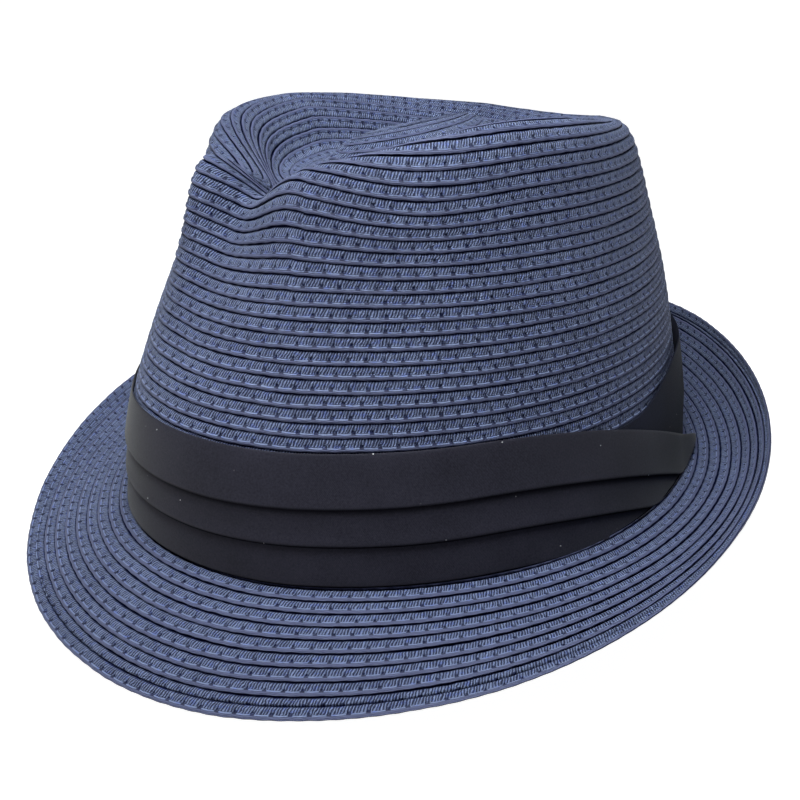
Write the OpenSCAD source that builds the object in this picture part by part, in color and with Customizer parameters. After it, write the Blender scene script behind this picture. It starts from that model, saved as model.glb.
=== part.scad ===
// Short-brim fedora sewn from paper braid, with a folded cloth hatband and an inner sweatband.
// Millimetres. +Z is up, the front of the hat points along -Y and the wearer's left along +X.
// The origin is the middle of the head opening, at the height where the crown meets the brim.

/* [Head opening] */
// Length of the head opening inside the sweatband, front to back
opening_length = 207; // [200:1:214]
// Width of the head opening inside the sweatband
opening_width = 167; // [162:1:172]
// How far the crown leans forward of the plane of the opening, in degrees
crown_lean = 3.3; // [0:0.1:5]

/* [Crown] */
// Height of the ridge at the sides of the crown
crown_height = 113.7; // [106:0.1:122]
// How much lower the ridge is at the back than at the sides
back_drop = 14.3; // [8:0.1:20]
// How much lower the ridge is between the front pinches than at the sides
front_drop = 3; // [0:0.1:5]
// How much higher the ridge is on the wearer's left, just ahead of the middle
left_rise = 4.9; // [0:0.1:6]
// How far the ridge stands inside the foot of the crown at the sides
side_taper = 25.1; // [18:0.1:28]
// How far the ridge stands inside the foot of the crown at the front
front_taper = 29.3; // [24:0.1:36]
// How far the ridge stands inside the foot of the crown at the back
back_taper = 20; // [14:1:26]
// Height of the groove that runs round inside the ridge
groove_height = 92.5; // [86:0.5:96]
// Height of the raised middle of the dent
mound_height = 108.3; // [98:0.1:112]
// How much the ridge drops at each front pinch
pinch_drop = 13.8; // [6:0.1:18]
// How far each front pinch pushes the ridge in
pinch_push = 9.2; // [4:0.1:12]
// Direction of the pinch on the wearer's left, measured from the wearer's left towards the back
left_pinch = -97; // [-100:1:-88]
// Direction of the pinch on the wearer's right
right_pinch = -133.5; // [-140:0.5:-130]

/* [Brim] */
// Width of the brim along its surface
brim_width = 35; // [30:0.5:40]
// Width that each row of braid shows
row_width = 3.7; // [3:0.1:5]
// Thickness of the sewn braid
braid_thickness = 1.6; // [1.2:0.1:2]

/* [Hatband and sweatband] */
// Height of the folded hatband at the front
band_height = 36.5; // [32:0.5:38]
// Height of the plain ribbon at the back
ribbon_back_height = 38; // [34:0.5:40]
// Height of the plain ribbon under the folds at the front
ribbon_front_height = 29; // [26:0.5:31]
// Width of the sweatband
sweatband_width = 30; // [24:1:34]
// Thickness of the sweatband
sweatband_thickness = 0.9; // [0.6:0.1:1.2]

/* [Hidden] */

turn_step = 5;
joint_gap = 0.1;

// The head opening is an oval of four arcs. Every layer outside it shares the same four centres.
half_length = opening_length / 2;
half_width = opening_width / 2;
end_radius = 0.594 * half_length;
end_centre = half_length - end_radius;
side_centre = (pow(end_centre, 2) - pow(half_width - end_radius, 2)) / (2 * (half_width - end_radius));
side_radius = half_width + side_centre;
side_reach = atan2(end_centre, side_centre);

// Layers from the head outwards: sweatband, gap, braid, ribbon, folds.
sweatband_gap = 0.3;
ribbon_thickness = 0.5;
fold_thickness = 0.7;
band_thickness = ribbon_thickness + fold_thickness + joint_gap;
foot_offset = sweatband_thickness + sweatband_gap + braid_thickness + band_thickness;

// Shape of the crown profile
foot_taper_mean = 4.8;
foot_taper_swing = 3.6;
foot_taper_lean = 1.3;
foot_height = 35;
ridge_radius = 9.5;
ridge_radius_back = 2;
back_drop_power = 1.2;
left_pinch_reach = [11.5, 30.5];
right_pinch_reach = [14.5, 12.5];
right_pinch_share = 0.86;
pinch_low_share = 0.49;
left_rise_place = -18.4;
left_rise_reach = 21.7;
groove_front_drop = 6;
groove_reach = 0.36;
middle_half = 24;
middle_shift = -2;
tip_half_width = 5;
side_end = 5.2;
last_span = 11;

// Slopes of the brim where it leaves the crown and at its edge, in degrees
inner_slope = [-9, 20.5, -11, -6.5];
outer_slope = [32, 60, 25, 12.5];
brim_parts = 10;

// Height of the line where the brim leaves the crown, before the lean is taken out
break_saddle = 0.6;
break_lean = -(half_length + foot_offset) * tan(crown_lean);

// The folded front of the hatband runs down into the brim seam at both ends.
fold_drop_start = 30;
fold_drop_rate = 0.0105;
fold_edges = [band_height, 22.3, 11.8, 0.5];
seam_height = 0.5;
fold_tip = 1.2;
fold_swell = 0.25;

stitch_count = 72;
stitch_length = 3.2;
stitch_diameter = 0.5;
stitch_height = 2.6;

braid_colour = [0.25, 0.29, 0.42];
cloth_colour = [0.10, 0.10, 0.12];
lining_colour = [0.13, 0.13, 0.16];

function turn(a) = a - 360 * floor((a + 180) / 360);
function bump(a, centre, width) = exp(-pow(turn(a - centre) / width, 2));
function front(a) = sin(a) < 0 ? pow(sin(a), 2) : 0;
function back(a) = sin(a) > 0 ? pow(sin(a), 2) : 0;
function clamp01(v) = min(1, max(0, v));
function ease(v) = pow(clamp01(v), 2) * (3 - 2 * clamp01(v));
function unit(v) = v / norm(v);

// Point of the oval that stands a distance d outside the head opening, where its normal points along a
function on_side_arc(a) = abs(turn(a)) < side_reach || abs(turn(a)) > 180 - side_reach;
function oval(a, d) = on_side_arc(a)
    ? [-sign(cos(a)) * side_centre + (side_radius + d) * cos(a), (side_radius + d) * sin(a)]
    : [(end_radius + d) * cos(a), sign(sin(a)) * end_centre + (end_radius + d) * sin(a)];

// Takes the crown's lean out, so the head opening lies level
function level(p) = [p[0],
                     p[1] * cos(crown_lean) - p[2] * sin(crown_lean),
                     p[1] * sin(crown_lean) + p[2] * cos(crown_lean)];

function break_height(a) = break_saddle * pow(sin(a), 2) + break_lean * sin(a);
function skew_bump(a, centre, reach) = bump(a, centre, turn(a - centre) < 0 ? reach[0] : reach[1]);
function pinch(a) = skew_bump(a, left_pinch, left_pinch_reach)
    + right_pinch_share * skew_bump(a, right_pinch, right_pinch_reach);
function foot(a) = oval(a, foot_offset);
function middle(a) = [0, middle_shift + middle_half * sin(a)];
function reach(a) = norm(foot(a) - middle(a));
function foot_taper(a) = foot_taper_mean + foot_taper_swing * cos(2 * a) - foot_taper_lean * sin(a);
function plain_taper(a) = side_taper + (front_taper - side_taper) * front(a)
    + (back_taper - side_taper) * back(a);
function ridge_taper(a) = plain_taper(a) + pinch_push * pinch(a);
function ridge_height(a) = crown_height - back_drop * pow(max(0, sin(a)), back_drop_power)
    - front_drop * front(a) - pinch_drop * pinch(a) + left_rise * bump(a, left_rise_place, left_rise_reach);
function ridge_round(a) = ridge_radius + ridge_radius_back * back(a);
function groove(a) = groove_height - groove_front_drop * front(a) - 2 * pinch(a);

// Control points of the crown profile: distance inwards from the foot, and height
function controls(a) =
    let (low = break_height(a), top = low + foot_height, w = foot_taper(a), plain = plain_taper(a),
         in = ridge_taper(a), rim = ridge_height(a), round = ridge_round(a), deep = groove(a),
         full = reach(a), wall = rim + 0.6 * pinch_drop * pinch(a))
    [[band_thickness, low],
     [0.45 * w + band_thickness, (low + top) / 2],
     [w + 0.8 * band_thickness, top],
     [w + (plain - w) * (0.27 + 0.33 * front(a)), top + 0.33 * (wall - top)],
     [w + (plain - w) * (0.67 + 0.21 * front(a)) + pinch_low_share * pinch_push * pinch(a),
      top + 0.66 * (wall - top)],
     [in - 1.5, rim - 0.75 * round],
     [in + 0.45 * round, rim + 0.42 * round],
     [in + 1.9 * round, rim - 0.35 * (rim - deep)],
     [in + groove_reach * (full - in), deep],
     [in + (1 + groove_reach) / 2 * (full - in), (deep + mound_height) / 2],
     [in + 0.86 * (full - in), mound_height],
     [full, mound_height + 1]];
function clamped(c) =
    let (n = len(c) - 1)
    concat([2 * c[0] - c[1]], c, [[2 * c[n][0] - c[n - 1][0], c[n - 1][1]]]);
function blend3(u) = [pow(1 - u, 3), 3 * pow(u, 3) - 6 * u * u + 4, -3 * pow(u, 3) + 3 * u * u + 3 * u + 1,
                      pow(u, 3)] / 6;
function spline(c, t) =
    let (i = min(floor(t), last_span - 1), b = blend3(t - i))
    c[i] * b[0] + c[i + 1] * b[1] + c[i + 2] * b[2] + c[i + 3] * b[3];
function inward(c, t) =
    let (t0 = max(0, t - 0.02), t1 = min(last_span, t + 0.02), d = unit(spline(c, t1) - spline(c, t0)))
    t <= 0 ? [1, 0] : [d[1], -d[0]];
function layer(c, t, depth) = spline(c, t) + depth * inward(c, t);

// A profile point [inwards, up] at direction a as a point of the part
function place(a, p) =
    let (q = foot(a) + (middle(a) - foot(a)) * p[0] / reach(a))
    level([q[0], q[1], p[1]]);

function steps(from, to, count) = [for (i = [0 : count]) from + (to - from) * i / count];
function reversed(list) = [for (i = [len(list) - 1 : -1 : 0]) list[i]];
all_round = [for (a = [0 : turn_step : 360 - turn_step]) a];

// Section of a shell between two depths under the outer face of the crown
function shell_section(a, ts, near, far) =
    let (c = clamped(controls(a)))
    concat([for (t = ts) place(a, layer(c, t, near))],
           [for (t = reversed(ts)) place(a, layer(c, t, far))]);

// Solid through sections that follow each other round the hat
module loft(sections, closed = true) {
    m = len(sections[0]);
    n = len(sections);
    points = [for (s = sections) each s];
    sides = [for (j = [0 : closed ? n - 1 : n - 2]) for (k = [0 : m - 1])
        let (a = j * m + k, b = j * m + (k + 1) % m,
             c = ((j + 1) % n) * m + (k + 1) % m, d = ((j + 1) % n) * m + k)
        each [[a, b, c], [a, c, d]]];
    ends = closed ? [] : [[for (k = [m - 1 : -1 : 0]) k], [for (k = [0 : m - 1]) (n - 1) * m + k]];
    polyhedron(points = points, faces = concat(sides, ends), convexity = 10);
}

// First turns of the braid, a flat long oval in the middle of the top
module crown_tip() {
    outline = [for (a = all_round) middle(a) + (foot(a) - middle(a)) / reach(a) * (tip_half_width - joint_gap)];
    color(braid_colour)
    rotate([crown_lean, 0, 0])
    translate([0, 0, mound_height + 0.8 - braid_thickness])
    linear_extrude(braid_thickness)
    polygon(outline);
}

// Rows of braid from the ridge to the middle of the top
module crown_top() {
    color(braid_colour)
    loft([for (a = all_round)
        let (c = clamped(controls(a)), full = reach(a),
             last = lookup(full - tip_half_width, [for (t = steps(9, last_span, 16)) [spline(c, t)[0], t]]))
        shell_section(a, steps(side_end + 0.03, last, 17), 0, braid_thickness)]);
}

// Rows of braid from the brim up to the ridge
module crown_side() {
    color(braid_colour)
    loft([for (a = all_round) shell_section(a, steps(0, side_end, 14), 0, braid_thickness)]);
}

// Slope of the brim at direction a, a share u of the way from the crown to the edge
function slope_sum(s, a) = s[0] + s[1] * sin(a) + s[2] * cos(2 * a) + s[3] * sin(3 * a);
function brim_slope(a, u) = slope_sum(inner_slope, a) * (1 - u) + slope_sum(outer_slope, a) * u;
function brim_line(a, n) = n == 0
    ? [0, 0]
    : brim_line(a, n - 1) + brim_width / brim_parts
        * [cos(brim_slope(a, (n - 0.5) / brim_parts)), sin(brim_slope(a, (n - 0.5) / brim_parts))];
function brim_point(a, n, depth) =
    let (i = floor(n), p0 = brim_line(a, i), p1 = i < n ? brim_line(a, i + 1) : p0,
         p = p0 + (p1 - p0) * (n - i), s = brim_slope(a, n / brim_parts),
         q = oval(a, foot_offset + p[0] + depth * sin(s)))
    level([q[0], q[1], break_height(a) + p[1] - depth * cos(s)]);

// Rows of braid of the brim, with the flat ring that the crown stands on
module brim() {
    seat = foot_offset - band_thickness - braid_thickness;
    last = brim_parts * (1 - (row_width + joint_gap) / brim_width);
    ns = concat([for (n = [0 : floor(last)]) n], [last]);
    color(braid_colour)
    loft([for (a = all_round)
        let (q = oval(a, seat), low = break_height(a) - joint_gap)
        concat([level([q[0], q[1], low])],
               [for (n = ns) n == 0
                   ? level([oval(a, foot_offset)[0], oval(a, foot_offset)[1], low])
                   : brim_point(a, n, 0)],
               [for (n = reversed(ns)) n == 0
                   ? level([oval(a, foot_offset)[0], oval(a, foot_offset)[1], low - braid_thickness])
                   : brim_point(a, n, braid_thickness)],
               [level([q[0], q[1], low - braid_thickness])])]);
}

// Last row of braid, which finishes the edge of the brim
module brim_edge_row() {
    first = brim_parts * (1 - row_width / brim_width);
    ns = steps(first, brim_parts, 2);
    color(braid_colour)
    loft([for (a = all_round)
        concat([for (n = ns) brim_point(a, n, 0)], [for (n = reversed(ns)) brim_point(a, n, braid_thickness)])]);
}

// A strip of cloth on the crown, from height z0 to z1 above the brim, between two distances outside the braid
function strip_section(a, z0, z1, near, far, swell) =
    let (c = clamped(controls(a)), low = break_height(a),
         table = [for (t = steps(0, 3, 12)) spline(c, t)],
         wall = [for (p = table) [p[1], p[0]]],
         zs = [z0, z0 + 0.2 * (z1 - z0), (z0 + z1) / 2, z1],
         swells = [0, swell, swell / 2, 0])
    concat([for (i = [0 : 3]) place(a, [lookup(low + zs[i], wall) - far - swells[i], low + zs[i]])],
           [for (i = [3 : -1 : 0]) place(a, [lookup(low + zs[i], wall) - near, low + zs[i]])]);

// Plain ribbon right round the crown. It shows at the back, past the ends of the folds
module band_ribbon() {
    color(cloth_colour)
    loft([for (a = all_round)
        let (top = ribbon_front_height + (ribbon_back_height - ribbon_front_height) * ease((sin(a) - 0.02) / 0.42))
        strip_section(a, seam_height, top, 0.02, ribbon_thickness, 0)]);
}

function fold_drop(a) = fold_drop_rate * pow(max(0, a + fold_drop_start), 2);
function fold_half_turn(i) = 90 - fold_drop_start
    + sqrt((fold_edges[i] - seam_height - fold_tip) / fold_drop_rate);

// One of the three folds of the front of the hatband, with its fold pointing down
module band_fold(i) {
    half = fold_half_turn(i);
    count = 2 * round(half / turn_step);
    color(cloth_colour)
    loft([for (k = [0 : count])
        let (side = half * (2 * k / count - 1), a = side - 90, drop = fold_drop(abs(side) - 90))
        strip_section(a, max(seam_height, fold_edges[i + 1] + joint_gap - drop), fold_edges[i] - drop,
                      ribbon_thickness + joint_gap, ribbon_thickness + fold_thickness, fold_swell)],
        closed = false);
}

module band_fold_upper() {
    band_fold(0);
}

module band_fold_middle() {
    band_fold(1);
}

module band_fold_lower() {
    band_fold(2);
}

sweatband_far = braid_thickness + sweatband_gap + sweatband_thickness;
function sweatband_top(c, low) = lookup(low + sweatband_width, [for (t = steps(0, 3, 12)) [spline(c, t)[1], t]]);

// Strip of cloth inside the crown, sewn on at the foot
module sweatband() {
    near = braid_thickness + sweatband_gap;
    color(lining_colour)
    loft([for (a = all_round)
        let (c = clamped(controls(a)), low = break_height(a), ts = steps(0, sweatband_top(c, low), 4),
             hem = low - braid_thickness)
        concat([place(a, [band_thickness + near, hem])],
               [for (t = ts) place(a, layer(c, t, near))],
               [for (t = reversed(ts)) place(a, layer(c, t, sweatband_far))],
               [place(a, [band_thickness + sweatband_far, hem])])]);
}

// Tape over the joint of the sweatband at the back
module sweatband_seam() {
    tape_half_turn = 5;
    tape_thickness = 0.4;
    near = sweatband_far + 0.02;
    color(lining_colour)
    loft([for (a = steps(90 - tape_half_turn, 90 + tape_half_turn, 4))
        let (c = clamped(controls(a)), low = break_height(a), top = sweatband_top(c, low))
        shell_section(a, steps(0.2 * top, 0.93 * top, 3), near, near + tape_thickness)],
        closed = false);
}

// Stitches that hold the foot of the sweatband
module sweatband_stitches() {
    color(lining_colour)
    for (i = [0 : stitch_count - 1]) {
        a = 360 * (i + 0.5) / stitch_count;
        c = clamped(controls(a));
        t = lookup(break_height(a) + stitch_height, [for (t = steps(0, 1, 8)) [spline(c, t)[1], t]]);
        translate(place(a, layer(c, t, sweatband_far + 0.6 * stitch_diameter)))
        rotate([crown_lean, 0, 0])
        rotate([0, 0, a])
        rotate([90, 0, 0])
        cylinder(h = stitch_length, d = stitch_diameter, center = true, $fn = 16);
    }
}

crown_tip();
crown_top();
crown_side();
brim();
brim_edge_row();
band_ribbon();
band_fold_upper();
band_fold_middle();
band_fold_lower();
sweatband();
sweatband_seam();
sweatband_stitches();
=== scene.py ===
"""Short-brim fedora: rows of sewn paper braid, a folded cloth hatband and a cloth sweatband.

Lengths inside the shape functions are in millimetres, as in the part's own source, and every mesh is
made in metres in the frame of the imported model: +Z up, the front along -Y, the wearer's left along +X.
"""
import math

import bpy
import numpy as np
from mathutils import Matrix, Vector


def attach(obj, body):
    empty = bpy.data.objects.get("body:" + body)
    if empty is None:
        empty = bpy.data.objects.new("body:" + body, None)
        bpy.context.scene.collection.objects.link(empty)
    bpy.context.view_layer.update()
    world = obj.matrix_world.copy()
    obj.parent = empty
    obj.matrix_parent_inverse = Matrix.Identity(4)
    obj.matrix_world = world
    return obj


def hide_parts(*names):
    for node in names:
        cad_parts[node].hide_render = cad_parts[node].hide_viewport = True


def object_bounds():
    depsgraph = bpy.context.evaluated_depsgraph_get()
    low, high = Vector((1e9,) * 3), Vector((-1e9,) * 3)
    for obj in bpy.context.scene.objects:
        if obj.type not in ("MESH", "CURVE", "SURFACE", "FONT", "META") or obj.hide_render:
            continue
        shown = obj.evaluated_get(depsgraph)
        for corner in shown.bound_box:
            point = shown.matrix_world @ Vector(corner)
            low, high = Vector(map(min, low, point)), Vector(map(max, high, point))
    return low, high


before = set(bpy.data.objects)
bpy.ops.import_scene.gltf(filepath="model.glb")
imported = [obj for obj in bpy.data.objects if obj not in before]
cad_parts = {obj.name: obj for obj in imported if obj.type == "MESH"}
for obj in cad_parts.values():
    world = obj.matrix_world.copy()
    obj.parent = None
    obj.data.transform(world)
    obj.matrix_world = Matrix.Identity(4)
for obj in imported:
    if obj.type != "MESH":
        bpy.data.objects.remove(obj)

CAD_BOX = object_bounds()
MM = 0.001
BODY = "root"
TAU = 2 * math.pi

# ---------------------------------------------------------------- sizes, as in the CAD
OPENING_LENGTH = 207.0
OPENING_WIDTH = 167.0
CROWN_LEAN = math.radians(3.3)
CROWN_HEIGHT = 113.7
BACK_DROP = 14.3
BACK_DROP_POWER = 1.2
FRONT_DROP = 3.0
LEFT_RISE, LEFT_RISE_PLACE, LEFT_RISE_REACH = 4.9, math.radians(-18.4), math.radians(21.7)
SIDE_TAPER, FRONT_TAPER, BACK_TAPER = 25.1, 29.3, 20.0
GROOVE_HEIGHT = 92.5
MOUND_HEIGHT = 108.3
MIDDLE_SHIFT, MIDDLE_HALF = -2.0, 24.0
PINCH_DROP, PINCH_PUSH = 13.8, 9.2
LEFT_PINCH, RIGHT_PINCH = math.radians(-97), math.radians(-133.5)
LEFT_PINCH_REACH = np.radians([11.5, 30.5])
RIGHT_PINCH_REACH = np.radians([14.5, 12.5])
RIGHT_PINCH_SHARE = 0.86
PINCH_LOW = 0.49
BRIM_WIDTH = 35.0
ROW_WIDTH = 3.7
BRAID_THICKNESS = 1.6
BAND_THICKNESS = 1.3
SWEATBAND_THICKNESS, SWEATBAND_GAP = 0.9, 0.3
BAND_HEIGHT = 36.5
RIBBON_FRONT, RIBBON_BACK = 29.0, 38.0
FOOT_HEIGHT = 35.0
SEAM_HEIGHT = 0.5

half_length, half_width = OPENING_LENGTH / 2, OPENING_WIDTH / 2
end_radius = 0.594 * half_length
end_centre = half_length - end_radius
side_centre = (end_centre ** 2 - (half_width - end_radius) ** 2) / (2 * (half_width - end_radius))
side_radius = half_width + side_centre
side_reach = math.atan2(end_centre, side_centre)
FOOT_OFFSET = SWEATBAND_THICKNESS + SWEATBAND_GAP + BRAID_THICKNESS + BAND_THICKNESS
break_lean = -(half_length + FOOT_OFFSET) * math.tan(CROWN_LEAN)


# ---------------------------------------------------------------- shape of the hat
def turned(a):
    """Angle brought into -pi..pi."""
    return (a + math.pi) % TAU - math.pi


def bump(a, centre, width):
    """1 at the centre direction, falling smoothly to 0 over about twice the width."""
    return np.exp(-(turned(a - centre) / width) ** 2)


def skew_bump(a, centre, reach):
    """A bump with its own reach on each side."""
    return bump(a, centre, np.where(turned(a - centre) < 0, *reach))


def ease(v):
    """0 below 0, 1 above 1, and smooth between."""
    v = np.clip(v, 0, 1)
    return v * v * (3 - 2 * v)


def oval(a, d):
    """Point at distance d outside the head opening, where the oval's normal points along a."""
    t, co, si = turned(a), np.cos(a), np.sin(a)
    on_side = (np.abs(t) < side_reach) | (np.abs(t) > math.pi - side_reach)
    x0 = np.where(on_side, -np.sign(co) * side_centre, 0.0)
    y0 = np.where(on_side, 0.0, np.sign(si) * end_centre)
    r = np.where(on_side, side_radius, end_radius) + d
    return np.stack([x0 + r * co, y0 + r * si], -1)


def level(p):
    """Takes the crown's lean out, so the head opening lies level."""
    c, s = math.cos(CROWN_LEAN), math.sin(CROWN_LEAN)
    return np.stack([p[..., 0], p[..., 1] * c - p[..., 2] * s, p[..., 1] * s + p[..., 2] * c], -1)


def break_height(a):
    """Height of the line where crown and brim meet."""
    return 0.6 * np.sin(a) ** 2 + break_lean * np.sin(a)


def controls(a):
    """Control points of the crown's profile at direction a: distance inwards from the foot, and height."""
    s = np.sin(a)
    front, back = np.where(s < 0, s * s, 0), np.where(s > 0, s * s, 0)
    pinch = skew_bump(a, LEFT_PINCH, LEFT_PINCH_REACH)
    pinch = pinch + RIGHT_PINCH_SHARE * skew_bump(a, RIGHT_PINCH, RIGHT_PINCH_REACH)
    foot = oval(a, FOOT_OFFSET)
    middle = np.stack([0 * a, MIDDLE_SHIFT + MIDDLE_HALF * s], -1)
    full = np.linalg.norm(foot - middle, axis=-1)
    low = break_height(a)
    top = low + FOOT_HEIGHT
    w = 4.8 + 3.6 * np.cos(2 * a) - 1.3 * s
    plain = SIDE_TAPER + (FRONT_TAPER - SIDE_TAPER) * front + (BACK_TAPER - SIDE_TAPER) * back
    rim_in = plain + PINCH_PUSH * pinch
    rim = CROWN_HEIGHT - BACK_DROP * np.maximum(s, 0) ** BACK_DROP_POWER - FRONT_DROP * front
    rim = rim - PINCH_DROP * pinch + LEFT_RISE * bump(a, LEFT_RISE_PLACE, LEFT_RISE_REACH)
    wall = rim + 0.6 * PINCH_DROP * pinch
    radius = 9.5 + 2 * back
    deep = GROOVE_HEIGHT - 6 * front - 2 * pinch
    reach = 0.36
    pts = [
        (BAND_THICKNESS + 0 * a, low),
        (0.45 * w + BAND_THICKNESS, (low + top) / 2),
        (w + 0.8 * BAND_THICKNESS, top),
        (w + (plain - w) * (0.27 + 0.33 * front), top + 0.33 * (wall - top)),
        (w + (plain - w) * (0.67 + 0.21 * front) + PINCH_LOW * PINCH_PUSH * pinch, top + 0.66 * (wall - top)),
        (rim_in - 1.5, rim - 0.75 * radius),
        (rim_in + 0.45 * radius, rim + 0.42 * radius),
        (rim_in + 1.9 * radius, rim - 0.35 * (rim - deep)),
        (rim_in + reach * (full - rim_in), deep),
        (rim_in + (1 + reach) / 2 * (full - rim_in), (deep + MOUND_HEIGHT) / 2),
        (rim_in + 0.86 * (full - rim_in), MOUND_HEIGHT + 0 * a),
        (full, MOUND_HEIGHT + 1 + 0 * a),
    ]
    c = np.stack([np.stack(p, -1) for p in pts], 0)
    last = np.stack([2 * c[-1, :, 0] - c[-2, :, 0], c[-2, :, 1]], -1)
    return np.concatenate([2 * c[:1] - c[1:2], c, last[None]], 0), foot, middle, full


def spline(c, count):
    """Uniform cubic B-spline through the control points, at count places along it."""
    spans = len(c) - 3
    t = np.linspace(0, spans, count)
    i = np.minimum(t.astype(int), spans - 1)
    u = t - i
    blend = [(1 - u) ** 3, 3 * u ** 3 - 6 * u * u + 4, -3 * u ** 3 + 3 * u * u + 3 * u + 1, u ** 3]
    return sum(b[:, None, None] / 6 * c[i + k] for k, b in enumerate(blend))


COLUMNS = 1200
LEVELS = 520
angles = np.arange(COLUMNS) * TAU / COLUMNS


def normals_of(grid, flip):
    """Unit normals of a grid of points [level, column, xyz] that is closed along its columns."""
    along = np.roll(grid, -1, 1) - np.roll(grid, 1, 1)
    up = np.gradient(grid, axis=0)
    n = np.cross(along, up) * flip
    return n / np.maximum(np.linalg.norm(n, axis=-1, keepdims=True), 1e-9)


def crown_grid():
    """Outer face of the crown by equal steps of distance along each profile, foot first."""
    c, foot, middle, full = controls(angles)
    fine = spline(c, 900)
    step = np.hypot(np.diff(fine[..., 0], axis=0), np.diff(fine[..., 1], axis=0))
    run = np.concatenate([np.zeros((1, COLUMNS)), np.cumsum(step, 0)], 0)
    total = run[-1]
    share = np.linspace(0, 1, LEVELS)
    w, z = np.empty((LEVELS, COLUMNS)), np.empty((LEVELS, COLUMNS))
    for j in range(COLUMNS):
        w[:, j] = np.interp(share * total[j], run[:, j], fine[:, j, 0])
        z[:, j] = np.interp(share * total[j], run[:, j], fine[:, j, 1])
    q = foot[None] + (middle - foot)[None] * (w / full)[..., None]
    points = level(np.concatenate([q, z[..., None]], -1))
    return points, normals_of(points, 1.0), total, z - break_height(angles)


def slope_sum(s, a):
    """Slope at direction a in radians, from a mean and three waves round the hat given in degrees."""
    return np.radians(s[0] + s[1] * np.sin(a) + s[2] * np.cos(2 * a) + s[3] * np.sin(3 * a))


def brim_grid(count=160):
    """Upper face of the brim from just inside the crown's foot to past its edge."""
    inner, outer = slope_sum([-9, 20.5, -11, -6.5], angles), slope_sum([32, 60, 25, 12.5], angles)
    s = np.linspace(-6.0, BRIM_WIDTH + 1.0, count)
    ds = s[1] - s[0]
    u = np.clip(s / BRIM_WIDTH, 0, 1.02)[:, None]
    slope = np.where(s[:, None] < 0, 0.0, inner * (1 - u) + outer * u)
    x = np.concatenate([np.zeros((1, COLUMNS)), np.cumsum(np.cos(slope[:-1]) * ds, 0)], 0) + s[0]
    z = np.concatenate([np.zeros((1, COLUMNS)), np.cumsum(np.sin(slope[:-1]) * ds, 0)], 0)
    rows = [np.concatenate([oval(angles, FOOT_OFFSET + x[i]), (z[i] + break_height(angles))[:, None]], -1)
            for i in range(count)]
    points = level(np.stack(rows, 0))
    return points, normals_of(points, -1.0), s


crown_points, crown_normals, crown_total, crown_rise = crown_grid()
brim_points, brim_normals, brim_s = brim_grid()
TURNS = round(float(crown_total.mean()) / ROW_WIDTH)


def sample(grid, at, column):
    """Grid value at fractional level at, for columns given by index."""
    at = np.clip(at, 0, len(grid) - 1.001)
    i = at.astype(int)
    f = (at - i)[..., None]
    return grid[i, column] * (1 - f) + grid[i + 1, column] * f


def crown_face(from_tip, column, n):
    """Point n outside the crown's face, at a distance from the tip along the profile."""
    at = (1 - from_tip / crown_total[column]) * (LEVELS - 1)
    return sample(crown_points, at, column) + n[..., None] * sample(crown_normals, at, column)


def wall_face(height, column, n):
    """Point n outside the crown's wall, at a height above the foot."""
    at = np.empty(height.shape)
    flat_h, flat_c, flat_at = height.ravel(), column.ravel(), at.ravel()
    low_levels = LEVELS // 2
    levels = np.arange(low_levels)
    for c in np.unique(flat_c):
        pick = flat_c == c
        flat_at[pick] = np.interp(flat_h[pick], crown_rise[:low_levels, c], levels)
    at = flat_at.reshape(height.shape)
    return sample(crown_points, at, column) + n[..., None] * sample(crown_normals, at, column)


def brim_face(s, column, n):
    """Point n above the brim's face, at a distance s from the crown's foot."""
    at = (s - brim_s[0]) / (brim_s[1] - brim_s[0])
    return sample(brim_points, at, column) + n[..., None] * sample(brim_normals, at, column)


def wander(seed, scale, count):
    """Smooth repeatable noise between about -1 and 1, changing every scale samples."""
    rng = np.random.RandomState(seed)
    knots = rng.uniform(-1, 1, int(count / scale) + 4)
    x = np.arange(count) / scale
    i = x.astype(int)
    f = ease(x - i)
    return knots[i] * (1 - f) + knots[i + 1] * f


# ---------------------------------------------------------------- mesh helpers
def make_mesh(name, verts, faces, values=None, material=None, replaces=()):
    """A smooth mesh piece in metres from points in millimetres, riding on the hat."""
    mesh = bpy.data.meshes.new(name)
    verts, faces = np.asarray(verts, float), np.asarray(faces, int)
    mesh.vertices.add(len(verts))
    mesh.vertices.foreach_set("co", (verts * MM).ravel())
    mesh.loops.add(faces.size)
    mesh.loops.foreach_set("vertex_index", faces.ravel())
    mesh.polygons.add(len(faces))
    mesh.polygons.foreach_set("loop_start", np.arange(len(faces)) * faces.shape[1])
    mesh.polygons.foreach_set("use_smooth", np.ones(len(faces), bool))
    mesh.update(calc_edges=True)
    for key, data in (values or {}).items():
        layer = mesh.attributes.new(key, "FLOAT", "POINT")
        layer.data.foreach_set("value", np.asarray(data, np.float32).ravel())
    mesh.validate()
    piece = bpy.data.objects.new(name, mesh)
    bpy.context.collection.objects.link(piece)
    if material:
        mesh.materials.append(material)
    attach(piece, BODY)
    if replaces:
        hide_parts(*replaces)
    return piece


def thicken(piece, thickness, offset):
    """Gives a sheet its thickness, in mm."""
    solid = piece.modifiers.new("thickness", "SOLIDIFY")
    solid.thickness = thickness * MM
    solid.offset = offset


def tube_faces(sections, around, closed_run):
    """Quads of a closed outline of around points swept through the sections."""
    last = sections if closed_run else sections - 1
    i = np.arange(last)[:, None]
    k = np.arange(around)[None]
    j, m = (i + 1) % sections, (k + 1) % around
    return np.stack([i * around + k, j * around + k, j * around + m, i * around + m], -1).reshape(-1, 4)


def sheet_faces(rows, cols, closed_cols):
    """Quads of a grid of points, joined round its columns when closed_cols is true."""
    last = cols if closed_cols else cols - 1
    i = np.arange(rows - 1)[:, None]
    k = np.arange(last)[None]
    m = (k + 1) % cols
    return np.stack([i * cols + k, i * cols + m, (i + 1) * cols + m, (i + 1) * cols + k], -1).reshape(-1, 4)


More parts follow.
